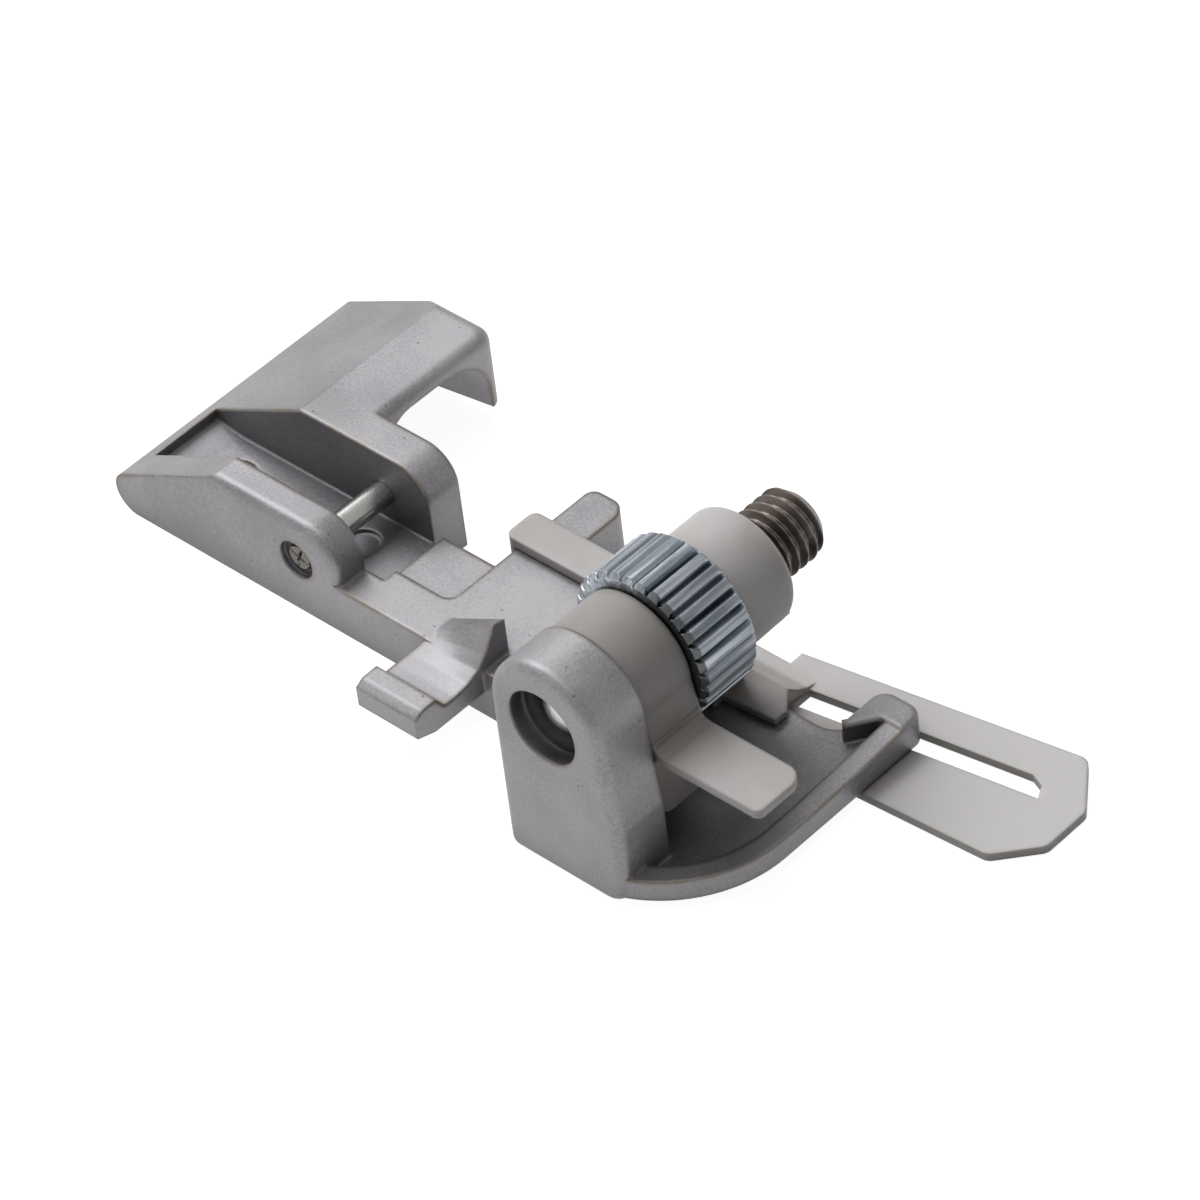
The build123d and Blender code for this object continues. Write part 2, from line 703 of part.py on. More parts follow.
def make_plate():
    """Thin slotted blade that slides under the relieved toe, with its narrower root."""
    wall_near_y = sole_far_y + flange_wall_gap
    front_near_y = plate_near_y + plate_near_rise * (plate_nose_x - plate_rear_x)
    shoulder_y = plate_far_y + plate_far_rise * (plate_shoulder_x - plate_rear_x)
    plate = prism_z(
        [
            (plate_root_x, wall_near_y),
            (plate_rear_x, wall_near_y),
            (plate_rear_x, plate_near_y),
            (plate_nose_x, front_near_y),
            (plate_tip_x, plate_tip_y - plate_tip_length),
            (plate_tip_x, plate_tip_y),
            (plate_shoulder_x, shoulder_y),
            (plate_rear_x, plate_far_y),
            (plate_rear_x, plate_root_far_y),
            (plate_root_x, plate_root_far_y),
        ],
        plate_lift,
        plate_lift + plate_thickness,
    )
    corners = edges_along_z(plate, plate_nose_x, front_near_y)
    corners += edges_along_z(plate, plate_shoulder_x, shoulder_y)
    corners += edges_along_z(plate, plate_tip_x, plate_tip_y)
    corners += edges_along_z(plate, plate_tip_x, plate_tip_y - plate_tip_length)
    plate = fillet(corners, plate_corner)
    slot_front_near = slot_near_y + slot_rise * (slot_front_x - slot_rear_x)
    slot = prism_z(
        [
            (slot_rear_x, slot_near_y),
            (slot_front_x + 0.5, slot_front_near),
            (slot_front_x, slot_front_near + slot_width * 0.6),
            (slot_front_x - 1.0, slot_front_near + slot_width * 0.85),
            (slot_rear_x, slot_near_y + slot_width),
        ],
        plate_lift - 1,
        plate_lift + plate_thickness + 1,
    )
    return plate - slot


def make_tail():
    """Tail over the cross, with a small hook behind the cross's rear edge."""
    tail_bottom = sole_top + tail_gap
    tail_top = tail_bottom + tail_thickness
    tip = tail_tip_x - stud_x
    tail = box_between((tip, 1 - far_leg_rear), (tail_far_y - tail_width, tail_far_y), (tail_bottom, tail_top))
    hook_front = cross_rear_x - tail_gap - stud_x
    tail_span = (tail_far_y - tail_width, tail_far_y)
    hook = box_between((tip, hook_front), tail_span, (sole_top - tail_hook_drop, tail_top))
    tail = tail + hook
    corners = edges_along_z(tail, tip, tail_far_y) + edges_along_z(tail, tip, tail_far_y - tail_width)
    return fillet(corners, tail_corner)


def make_guide():
    """One nylon moulding: two hubs on the stud, their legs, the web under the nut, tab, tail and slotted plate."""
    base_z = toe_floor_z + guide_lift
    web_top = stud_height - nut_radius - web_top_gap
    web = box_between((-web_rear, web_front), (near_hub_end_y - 0.5, far_leg_near_y + 0.5), (base_z, web_top))
    bore = rod_y(stud_radius + stud_clearance, near_hub_y - 1, far_hub_end_y + 1, 0, stud_height)
    parts = make_near_leg() + make_far_leg() + web + make_plate() + make_tail()
    return Pos(stud_x, 0, 0) * (parts - bore)


os.makedirs("parts", exist_ok=True)
export_step(make_body_casting(), "parts/body_casting.step")
export_step(make_snap_pin(), "parts/snap_pin.step")
export_step(make_stud(), "parts/stud.step")
export_step(make_thumb_nut(), "parts/thumb_nut.step")
export_step(make_guide(), "parts/guide.step")
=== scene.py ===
"""Presser foot with a threaded stud, a toothed thumb nut and a sliding nylon guide.

The solids are loaded as a fixed frame. The casting and the guide keep their shapes and get a finish.
The snap pin, the stud and the thumb nut are worked out anew, and a plain pale studio is set round them.
"""

import logging
import math
from dataclasses import dataclass
from enum import Enum

import bpy
import numpy as np
from mathutils import Matrix, Vector

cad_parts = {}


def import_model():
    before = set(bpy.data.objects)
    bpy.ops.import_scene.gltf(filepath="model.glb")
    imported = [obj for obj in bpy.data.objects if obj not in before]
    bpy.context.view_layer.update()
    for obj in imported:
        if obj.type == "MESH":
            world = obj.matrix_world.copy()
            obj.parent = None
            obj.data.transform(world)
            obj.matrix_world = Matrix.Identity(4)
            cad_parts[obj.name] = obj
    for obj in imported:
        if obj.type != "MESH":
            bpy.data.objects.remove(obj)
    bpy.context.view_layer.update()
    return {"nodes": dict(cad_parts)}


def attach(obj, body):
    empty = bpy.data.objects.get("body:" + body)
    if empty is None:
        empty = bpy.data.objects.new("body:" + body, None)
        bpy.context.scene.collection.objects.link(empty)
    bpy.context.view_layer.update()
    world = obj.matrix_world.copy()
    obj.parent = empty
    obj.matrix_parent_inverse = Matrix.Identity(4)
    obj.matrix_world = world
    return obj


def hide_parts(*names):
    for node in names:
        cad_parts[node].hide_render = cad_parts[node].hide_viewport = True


LOG = logging.getLogger("presser_foot")
MM = 0.001
NUMBER = "NodeSocketFloat"
WHITE = (1.0, 1.0, 1.0, 1.0)
STUD_AXIS = (28.6, 12.0)

Colour = tuple[float, float, float, float]
Place = tuple[float, float, float]
Pair = tuple[float, float]


class Body(Enum):
    """The bodies of the part that new pieces ride on."""

    FOOT = "foot"
    NUT = "nut"


class Slot(Enum):
    """Names of material slots for the new pieces; nothing in the script uses them."""

    PIN = "pin"
    STUD = "stud"
    NUT = "nut"


def profile_round_axis(
    radii: np.ndarray, stations: np.ndarray, centre: Pair
) -> tuple[np.ndarray, list[list[int]]]:
    """Carries a profile round an axis that runs along Y.

    A point at row i and column j lies at radius radii[i, j] and at Y stations[i], at an angle that runs
    once round over the columns, counted from +X towards +Z.

    Args:
        radii: rows by columns, in millimetres.
        stations: the Y of each row, in millimetres, or rows by columns.
        centre: X and Z of the axis, in millimetres.

    Returns:
        Points in metres and the quads between neighbouring rows.
    """
    rows, columns = radii.shape
    angle = np.linspace(0.0, 2.0 * math.pi, columns, endpoint=False)[None, :]
    along = stations if stations.ndim == 2 else np.repeat(stations[:, None], columns, axis=1)
    points = np.stack(
        [centre[0] + radii * np.cos(angle), along, centre[1] + radii * np.sin(angle)], axis=-1
    ).reshape(-1, 3)
    row = np.arange(rows - 1)[:, None] * columns
    here = np.arange(columns)[None, :]
    after = (here + 1) % columns
    quads = np.stack([row + here, row + columns + here, row + columns + after, row + after], axis=-1)
    return points * MM, quads.reshape(-1, 4).tolist()


def mesh_piece(
    name: str, points: np.ndarray, faces: list, smooth_below: float = 30.0
) -> bpy.types.Object:
    """Puts worked-out points and faces into a mesh object at the origin.

    Args:
        name: the piece's name.
        points: rows of X, Y and Z in metres.
        faces: point numbers of each face.
        smooth_below: edges that turn less than this many degrees are shaded smooth.

    Returns:
        The new object, linked to the scene.
    """
    mesh = bpy.data.meshes.new(name)
    mesh.from_pydata(points.tolist(), [], faces)
    mesh.validate()
    piece = bpy.data.objects.new(name, mesh)
    bpy.context.scene.collection.objects.link(piece)
    mesh.shade_smooth()
    mesh.set_sharp_from_angle(angle=math.radians(smooth_below))
    return piece


def dress(piece: bpy.types.Object, material: bpy.types.Material) -> None:
    """Gives a piece one material.

    Args:
        piece: the piece.
        material: its material.
    """
    piece.data.materials.clear()
    piece.data.materials.append(material)


class Nodes:
    """Short hand for building a node tree."""

    def __init__(self, tree: bpy.types.NodeTree) -> None:
        """Keeps the tree.

        Args:
            tree: the tree that the nodes go into.
        """
        self.tree = tree

    def add(self, kind: str, links: dict | None = None, **settings: object) -> bpy.types.Node:
        """Adds a node, sets its properties and fills its inputs.

        Args:
            kind: the node's type name.
            links: input name or number to a value or to another node's output.
            settings: properties of the node.

        Returns:
            The new node.
        """
        node = self.tree.nodes.new(kind)
        for name, value in settings.items():
            setattr(node, name, value)
        for name, value in (links or {}).items():
            self.fill(node.inputs[name], value)
        return node

    def fill(self, socket: bpy.types.NodeSocket, value: object) -> None:
        """Links an output to a socket, or sets the socket's own value.

        Args:
            socket: the input to fill.
            value: an output socket or a plain value.
        """
        if isinstance(value, bpy.types.NodeSocket):
            self.tree.links.new(value, socket)
        else:
            socket.default_value = value

    def coordinates(self) -> bpy.types.NodeSocket:
        """Gives the piece's own coordinates, in metres."""
        return self.add("ShaderNodeTexCoord").outputs["Object"]

    def group(self, tree: bpy.types.NodeTree, links: dict) -> bpy.types.Node:
        """Places a shared node group.

        Args:
            tree: the group.
            links: input name to a value or to another node's output.

        Returns:
            The group's node.
        """
        return self.add("ShaderNodeGroup", links, node_tree=tree)

    def noise(self, place: bpy.types.NodeSocket, scale: object, detail: float) -> bpy.types.NodeSocket:
        """Adds cloudy noise.

        Args:
            place: the coordinates it is laid over.
            scale: how many clouds there are to a metre.
            detail: how many finer layers are added.

        Returns:
            The noise, around one half.
        """
        links = {"Vector": place, "Scale": scale, "Detail": detail}
        return self.add("ShaderNodeTexNoise", links).outputs[0]

    def math(self, operation: str, first: object, second: object) -> bpy.types.NodeSocket:
        """Adds a Math node and gives its output.

        Args:
            operation: the node's operation.
            first: its first input.
            second: its second input.

        Returns:
            The result socket.
        """
        return self.add("ShaderNodeMath", {0: first, 1: second}, operation=operation).outputs[0]

    def step(self, value: object, low: float, high: float, top: float = 1.0) -> bpy.types.NodeSocket:
        """Maps a value between two limits smoothly to 0 and top.

        Args:
            value: the input value.
            low: the value that gives 0.
            high: the value that gives top.
            top: the largest result.

        Returns:
            The result socket.
        """
        links = {"Value": value, "From Min": low, "From Max": high, "To Min": 0.0, "To Max": top}
        node = self.add("ShaderNodeMapRange", links, interpolation_type="SMOOTHSTEP")
        return node.outputs["Result"]

    def spread(self, lowest: float, reach: float, pattern: object) -> bpy.types.NodeSocket:
        """Gives the lowest value plus the reach times a pattern.

        Args:
            lowest: the value where the pattern is 0.
            reach: how much the pattern adds where it is 1.
            pattern: the pattern.

        Returns:
            The result socket.
        """
        return self.math("ADD", lowest, self.math("MULTIPLY", pattern, reach))

    def mix(self, factor: object, first: object, second: object) -> bpy.types.NodeSocket:
        """Mixes two colours.

        Args:
            factor: how much of the second.
            first: the first colour.
            second: the second colour.

        Returns:
            The mixed colour.
        """
        node = self.add("ShaderNodeMix", data_type="RGBA")
        self.fill(node.inputs[0], factor)
        self.fill(node.inputs[6], first)
        self.fill(node.inputs[7], second)
        return node.outputs[2]

    def bump(self, links: dict) -> bpy.types.NodeSocket:
        """Adds a Bump node with the given inputs and gives its normal.

        Args:
            links: input name to a value or to another node's output.

        Returns:
            The bent normal.
        """
        return self.add("ShaderNodeBump", links).outputs[0]


def start_group(
    name: str, inputs: dict[str, float], outputs: tuple[str, ...]
) -> tuple[bpy.types.NodeTree, Nodes, dict, dict]:
    """Starts a shader node group whose named sockets are all numbers.

    Args:
        name: the group's name.
        inputs: input name to its default.
        outputs: the names of the outputs.

    Returns:
        The group, a Nodes on it, what its inputs give and what its outputs take.
    """
    group = bpy.data.node_groups.new(name, "ShaderNodeTree")
    for label, default in inputs.items():
        socket = group.interface.new_socket(name=label, in_out="INPUT", socket_type=NUMBER)
        socket.default_value = default
    for label in outputs:
        group.interface.new_socket(name=label, in_out="OUTPUT", socket_type=NUMBER)
    nodes = Nodes(group)
    return group, nodes, nodes.add("NodeGroupInput").outputs, nodes.add("NodeGroupOutput").inputs


def start_material(name: str) -> tuple[bpy.types.Material, Nodes, dict]:
    """Starts a node material with one Principled shader.

    Args:
        name: the material's name.

    Returns:
        The material, a Nodes on its tree and the shader's inputs.
    """
    material = bpy.data.materials.new(name)
    material.use_nodes = True
    shader = next(node for node in material.node_tree.nodes if node.type == "BSDF_PRINCIPLED")
    return material, Nodes(material.node_tree), shader.inputs


@dataclass(frozen=True)
class EdgeWear:
    """Mask that is bright along outer edges, broken up by noise."""

    width: float = 0.0003
    breakup: float = 0.5
    scale: float = 260.0
    detail: float = 4.0
    turned: Pair = (0.01, 0.2)
    gate: Pair = (0.1, 0.3)
    samples: int = 6

    def build(self) -> bpy.types.NodeTree:
        """Makes the node group.

        Mask is how far the rounded normal turns away from the true one, times a gate on the noise less
        half the breakup.

        Returns:
            The group, with inputs Width, Breakup and Scale and output Mask.
        """
        inputs = {"Width": self.width, "Breakup": self.breakup, "Scale": self.scale}
        group, nodes, given, result = start_group("edge_wear", inputs, ("Mask",))
        bevel = nodes.add("ShaderNodeBevel", {"Radius": given["Width"]}, samples=self.samples)
        true_normal = nodes.add("ShaderNodeNewGeometry").outputs["Normal"]
        normals = {0: bevel.outputs[0], 1: true_normal}
        agree = nodes.add("ShaderNodeVectorMath", normals, operation="DOT_PRODUCT").outputs["Value"]
        edge = nodes.step(nodes.math("SUBTRACT", 1.0, agree), *self.turned)
        noise = nodes.noise(nodes.coordinates(), given["Scale"], self.detail)
        patchy = nodes.math("SUBTRACT", noise, nodes.math("MULTIPLY", given["Breakup"], 0.5))
        nodes.fill(result["Mask"], nodes.math("MULTIPLY", edge, nodes.step(patchy, *self.gate)))
        return group


@dataclass(frozen=True)
class RecessShade:
    """Mask that grows in corners and narrow gaps, for painted shade where little light comes."""

    reach: float = 0.004
    strength: float = 1.0
    closed: Pair = (0.08, 0.75)
    samples: int = 6

    def build(self) -> bpy.types.NodeTree:
        """Makes the node group.

        Mask is the strength times a smooth step of the share of directions that is closed within reach.

        Returns:
            The group, with inputs Reach and Strength and output Mask.
        """
        inputs = {"Reach": self.reach, "Strength": self.strength}
        group, nodes, given, result = start_group("recess_shade", inputs, ("Mask",))
        around = nodes.add(
            "ShaderNodeAmbientOcclusion", {"Distance": given["Reach"]}, samples=self.samples
        )
        closed = nodes.step(nodes.math("SUBTRACT", 1.0, around.outputs["AO"]), *self.closed)
        nodes.fill(result["Mask"], nodes.math("MULTIPLY", closed, given["Strength"]))
        return group


@dataclass(frozen=True)
class CastSkin:
    """Fine grain, soft swells and sparse pits of a plated die casting; noises are scale and detail."""

    grain: Pair = (5200.0, 3.0)
    swell: Pair = (420.0, 2.0)
    cloud: Pair = (130.0, 4.0)
    chosen: Pair = (700.0, 1.0)
    pit_scale: float = 1100.0
    pit_edge: Pair = (0.03, 0.15)
    chosen_above: Pair = (0.56, 0.62)
    grain_height: float = 0.35
    swell_height: float = 0.9
    pit_depth: float = 1.4
    cloud_tone: float = 0.6
    grain_tone: float = 0.4

    def build(self) -> bpy.types.NodeTree:
        """Makes the node group.

        Pit is a spot at a cell's middle where a second noise chooses that cell. Height is a share of
        the grain plus a share of the swell less the pit. Tone is a share of a cloud plus a share of
        the grain.

        Returns:
            The group, with inputs Grain, Pits and Swell and outputs Height, Tone and Pit.
        """
        inputs = {"Grain": 1.0, "Pits": 1.0, "Swell": 1.0}
        group, nodes, given, result = start_group("cast_skin", inputs, ("Height", "Tone", "Pit"))
        place = nodes.coordinates()
        grain = nodes.noise(place, *self.grain)
        cells = nodes.add("ShaderNodeTexVoronoi", {"Vector": place, "Scale": self.pit_scale})
        spot = nodes.math("SUBTRACT", 1.0, nodes.step(cells.outputs["Distance"], *self.pit_edge))
        chosen = nodes.step(nodes.noise(place, *self.chosen), *self.chosen_above)
        pit = nodes.math("MULTIPLY", nodes.math("MULTIPLY", spot, chosen), given["Pits"])
        fine = nodes.math("MULTIPLY", grain, given["Grain"])
        broad = nodes.math("MULTIPLY", nodes.noise(place, *self.swell), given["Swell"])
        raised = nodes.math(
            "ADD",
            nodes.math("MULTIPLY", fine, self.grain_height),
            nodes.math("MULTIPLY", broad, self.swell_height),
        )
        sunk = nodes.math("MULTIPLY", pit, self.pit_depth)
        tone = nodes.math(
            "ADD",
            nodes.math("MULTIPLY", nodes.noise(place, *self.cloud), self.cloud_tone),
            nodes.math("MULTIPLY", grain, self.grain_tone),
        )
        nodes.fill(result["Height"], nodes.math("SUBTRACT", raised, sunk))
        nodes.fill(result["Tone"], tone)
        nodes.fill(result["Pit"], pit)
        return group


@dataclass(frozen=True)
class Patterns:
    """The shared node groups, each built once."""

    wear: bpy.types.NodeTree
    recess_shade: bpy.types.NodeTree
    skin: bpy.types.NodeTree


@dataclass(frozen=True)
class CastFinish:
    """Satin plating over a die casting: grey metal, pitted, with warm brassy wear where edges rub.

    mouths are the pin's and the stud's bore mouths, darkened with painted shade, each as X, Y, Z and
    radius in metres.
    """

    light: Colour = (0.385, 0.375, 0.39, 1.0)
    dark: Colour = (0.245, 0.24, 0.25, 1.0)
    pit: Colour = (0.07, 0.06, 0.055, 1.0)
    wear: Colour = (0.24, 0.185, 0.12, 1.0)
    mouth_shade: Colour = (0.04, 0.035, 0.03, 1.0)
    shade: Colour = (0.13, 0.13, 0.145, 1.0)
    tone_span: Pair = (0.35, 0.65)
    wear_width: float = 0.0008
    wear_breakup: float = 0.6
    wear_share: float = 0.8
    pit_share: float = 0.6
    recess_reach: float = 0.005
    recess_strength: float = 0.8
    mouths: tuple[Colour, ...] = (
        (0.0, -0.00478, 0.0043, 0.00142),
        (0.0286, -0.01165, 0.0120, 0.00268),
    )
    mouth_edge: float = 0.95
    mouth_share: float = 0.85
    roughness: float = 0.40
    roughness_reach: float = 0.12
    metallic: float = 0.62
    bump: float = 0.2
    bump_depth: float = 0.0001
    edge_round: float = 0.00042
    edge_samples: int = 8

    def build(self, patterns: Patterns) -> bpy.types.Material:
        """Makes the material.

        The colour runs from dark to light with the skin's tone, then to brass on worn edges, to dark in
        pits, to painted shade in recesses and to darker painted shade within each mouth's radius.
        Roughness follows the tone.

        Args:
            patterns: the shared node groups.

        Returns:
            The casting's material.
        """
        material, nodes, shader = start_material("satin_casting")
        skin = nodes.group(patterns.skin, {}).outputs
        worn = nodes.group(patterns.wear, {"Width": self.wear_width, "Breakup": self.wear_breakup})
        depths = {"Reach": self.recess_reach, "Strength": self.recess_strength}
        recess_shade = nodes.group(patterns.recess_shade, depths).outputs["Mask"]
        tone = nodes.step(skin["Tone"], *self.tone_span)
        rubbed = nodes.math("MULTIPLY", worn.outputs["Mask"], self.wear_share)
        base = nodes.mix(rubbed, nodes.mix(tone, self.dark, self.light), self.wear)
        base = nodes.mix(nodes.math("MULTIPLY", skin["Pit"], self.pit_share), base, self.pit)
        # Painted shade in corners and narrow gaps of the casting.
        base = nodes.mix(recess_shade, base, self.shade)
        place = nodes.coordinates()
        # Painted shade: darkens the casting inside each bore mouth's radius.
        for x, y, z, radius in self.mouths:
            ends = {0: place, 1: (x, y, z)}
            away = nodes.add("ShaderNodeVectorMath", ends, operation="DISTANCE").outputs["Value"]
            inside = nodes.step(away, radius, radius * self.mouth_edge, self.mouth_share)
            base = nodes.mix(inside, base, self.mouth_shade)
        nodes.fill(shader["Base Color"], base)
        nodes.fill(shader["Metallic"], self.metallic)
        nodes.fill(shader["Roughness"], nodes.spread(self.roughness, self.roughness_reach, tone))
        soft = nodes.add("ShaderNodeBevel", {"Radius": self.edge_round}, samples=self.edge_samples)
        relief = {
            "Height": skin["Height"],
            "Strength": self.bump,
            "Distance": self.bump_depth,
            "Normal": soft.outputs[0],
        }
        nodes.fill(shader["Normal"], nodes.bump(relief))
        return material


@dataclass(frozen=True)
class SteelFinish:
    """Clouded steel with drawn streaks along Y, rubbed edges and an end colour on its near end.

    streak is how much the clouds are stretched along Y: 1 is not at all, and less is longer. The end
    colour lies where Y is below end_before and X is above end_from_x, in metres. On the nut it is painted
    shade over half the near end face.
    """

    name: str
    light: Colour
    dark: Colour
    roughness: float
    end_before: float
    metallic: float = 1.0
    roughness_reach: float = 0.15
    streak: float = 1.0
    cloud_scale: float = 300.0
    cloud_detail: float = 5.0
    tone_span: Pair = (0.36, 0.64)
    fine: Pair = (4200.0, 2.0)
    wear_colour: Colour = (0.75, 0.76, 0.78, 1.0)
    wear_width: float = 0.0002
    wear_breakup: float = 0.35
    wear_share: float = 0.8
    end_colour: Colour = (0.62, 0.61, 0.60, 1.0)
    end_share: float = 0.9
    end_fade: float = 0.0001
    end_from_x: float = -1.0
    end_from_fade: float = 0.002
    bump: float = 0.1
    bump_depth: float = 0.00005

    def build(self, patterns: Patterns) -> bpy.types.Material:
        """Makes the material.

        The colour runs from dark to light with stretched clouds, then to the wear colour on rubbed edges
        and to the end colour on the near end. Fine noise feeds the roughness and the relief.

        Args:
            patterns: the shared node groups.

        Returns:
            The steel's material.
        """
        material, nodes, shader = start_material(self.name)
        place = nodes.coordinates()
        stretch = {0: place, 1: (1.0, self.streak, 1.0)}
        drawn = nodes.add("ShaderNodeVectorMath", stretch, operation="MULTIPLY").outputs[0]
        tone = nodes.step(nodes.noise(drawn, self.cloud_scale, self.cloud_detail), *self.tone_span)
        fine = nodes.noise(place, *self.fine)
        worn = nodes.group(patterns.wear, {"Width": self.wear_width, "Breakup": self.wear_breakup})
        rubbed = nodes.math("MULTIPLY", worn.outputs["Mask"], self.wear_share)
        base = nodes.mix(rubbed, nodes.mix(tone, self.dark, self.light), self.wear_colour)
        spot = nodes.add("ShaderNodeSeparateXYZ", {0: place}).outputs
        end_low = self.end_before + self.end_fade
        at_end = nodes.step(spot["Y"], end_low, self.end_before, self.end_share)
        ahead = nodes.step(spot["X"], self.end_from_x, self.end_from_x + self.end_from_fade)
        base = nodes.mix(nodes.math("MULTIPLY", at_end, ahead), base, self.end_colour)
        nodes.fill(shader["Base Color"], base)
        nodes.fill(shader["Metallic"], self.metallic)
        nodes.fill(shader["Roughness"], nodes.spread(self.roughness, self.roughness_reach, fine))
        relief = {"Height": fine, "Strength": self.bump, "Distance": self.bump_depth}
        nodes.fill(shader["Normal"], nodes.bump(relief))
        return material


@dataclass(frozen=True)
class NylonFinish:
    """Cloudy translucent nylon, warm grey white and softly shining; lengths in metres.

    The plate low down near the sole is paler, a painted light for the light that comes through it. The
    near hub gets painted shade where Y is below near_hub_y and X is short of the finger tab's root, and
    so do all recesses.
    """

    light: Colour = (0.66, 0.64, 0.63, 1.0)
    dark: Colour = (0.57, 0.545, 0.53, 1.0)
    shade: Colour = (0.20, 0.18, 0.165, 1.0)
    painted_backlight: Colour = (0.86, 0.83, 0.81, 1.0)
    cloud: Pair = (160.0, 3.0)
    fine: Pair = (1500.0, 3.0)
    tone_span: Pair = (0.35, 0.65)
    thin_below: float = 0.0008
    thin_fade: float = 1.3
    near_hub_y: float = -0.0042
    near_hub_fade: float = 0.0006
    tab_root_x: float = 0.0334
    tab_root_fade: float = 0.0014
    hub_shade_share: float = 0.42
    recess_reach: float = 0.007
    recess_strength: float = 0.9
    roughness: float = 0.40
    roughness_reach: float = 0.12
    scatter: float = 0.5
    scatter_radius: Place = (1.0, 0.95, 0.85)
    scatter_depth: float = 0.0012
    bump: float = 0.06
    bump_depth: float = 0.0001
    edge_round: float = 0.0003
    edge_samples: int = 6

    def build(self, patterns: Patterns) -> bpy.types.Material:
        """Makes the material.

        The colour runs from dark to light with clouds, then to a pale painted light below a height, to a
        share of painted shade on the near hub, and to painted shade in recesses. Fine noise feeds the
        roughness and the relief.

        Args:
            patterns: the shared node groups.

        Returns:
            The guide's material.
        """
        material, nodes, shader = start_material("cloudy_nylon")
        place = nodes.coordinates()
        fine = nodes.noise(place, *self.fine)
        depths = {"Reach": self.recess_reach, "Strength": self.recess_strength}
        recess_shade = nodes.group(patterns.recess_shade, depths).outputs["Mask"]
        tone = nodes.step(nodes.noise(place, *self.cloud), *self.tone_span)
        base = nodes.mix(tone, self.dark, self.light)
        spot = nodes.add("ShaderNodeSeparateXYZ", {0: place}).outputs
        # Painted light: the plate low down is made paler, standing in for light that comes through it.
        low_down = nodes.step(spot["Z"], self.thin_below * self.thin_fade, self.thin_below)
        base = nodes.mix(low_down, base, self.painted_backlight)
        # Painted shade on the near hub, between the ear and the nut.
        hub_low = self.near_hub_y + self.near_hub_fade
        near = nodes.step(spot["Y"], hub_low, self.near_hub_y, self.hub_shade_share)
        behind = nodes.step(spot["X"], self.tab_root_x + self.tab_root_fade, self.tab_root_x)
        base = nodes.mix(nodes.math("MULTIPLY", near, behind), base, self.shade)
        # Painted shade in the guide's recesses.
        nodes.fill(shader["Base Color"], nodes.mix(recess_shade, base, self.shade))
        nodes.fill(shader["Roughness"], nodes.spread(self.roughness, self.roughness_reach, fine))
        nodes.fill(shader["Subsurface Weight"], self.scatter)
        nodes.fill(shader["Subsurface Radius"], self.scatter_radius)
        nodes.fill(shader["Subsurface Scale"], self.scatter_depth)
        soft = nodes.add("ShaderNodeBevel", {"Radius": self.edge_round}, samples=self.edge_samples)
        relief = {
            "Height": fine,
            "Strength": self.bump,
            "Distance": self.bump_depth,
            "Normal": soft.outputs[0],
        }
        nodes.fill(shader["Normal"], nodes.bump(relief))
        return material


POLISHED_PIN = SteelFinish(
    name="polished_pin",
    light=(0.70, 0.69, 0.67, 1.0),
    dark=(0.50, 0.49, 0.47, 1.0),
    roughness=0.18,
    streak=0.15,
    wear_width=0.00003,
    end_before=-0.0046,
    end_colour=(0.09, 0.08, 0.07, 1.0),
    bump=0.02,
)
DARK_STUD = SteelFinish(
    name="dark_stud",
    light=(0.17, 0.145, 0.13, 1.0),
    dark=(0.06, 0.052, 0.048, 1.0),
    roughness=0.32,
    wear_colour=(0.45, 0.42, 0.40, 1.0),
    end_before=-0.0100,
)
ZINC_NUT = SteelFinish(
    name="zinc_nut",
    light=(0.40, 0.43, 0.465, 1.0),
    dark=(0.19, 0.22, 0.25, 1.0),
    roughness=0.24,
    metallic=0.95,
    streak=0.07,
    cloud_scale=2400.0,
    # Painted shade: the dark end colour covers the half of the near end face with X above end_from_x.
    end_before=-0.00352,
    end_from_x=0.0285,
    end_colour=(0.09, 0.095, 0.095, 1.0),
)


@dataclass
class BodyCasting:
    """The die casting, whose shape is its solid's."""

    solid: bpy.types.Object
    finish: CastFinish = CastFinish()

    def add(self, patterns: Patterns) -> bpy.types.Object:
        """Dresses the casting.

        Args:
            patterns: the shared node groups.

        Returns:
            The casting's object.
        """
        dress(self.solid, self.finish.build(patterns))
        return self.solid


@dataclass
class NylonGuide:
    """The sliding guide, whose shape is its solid's."""

    solid: bpy.types.Object
    finish: NylonFinish = NylonFinish()

    def add(self, patterns: Patterns) -> bpy.types.Object:
        """Dresses the guide.

        Args:
            patterns: the shared node groups.

        Returns:
            The guide's object.
        """
        dress(self.solid, self.finish.build(patterns))
        return self.solid


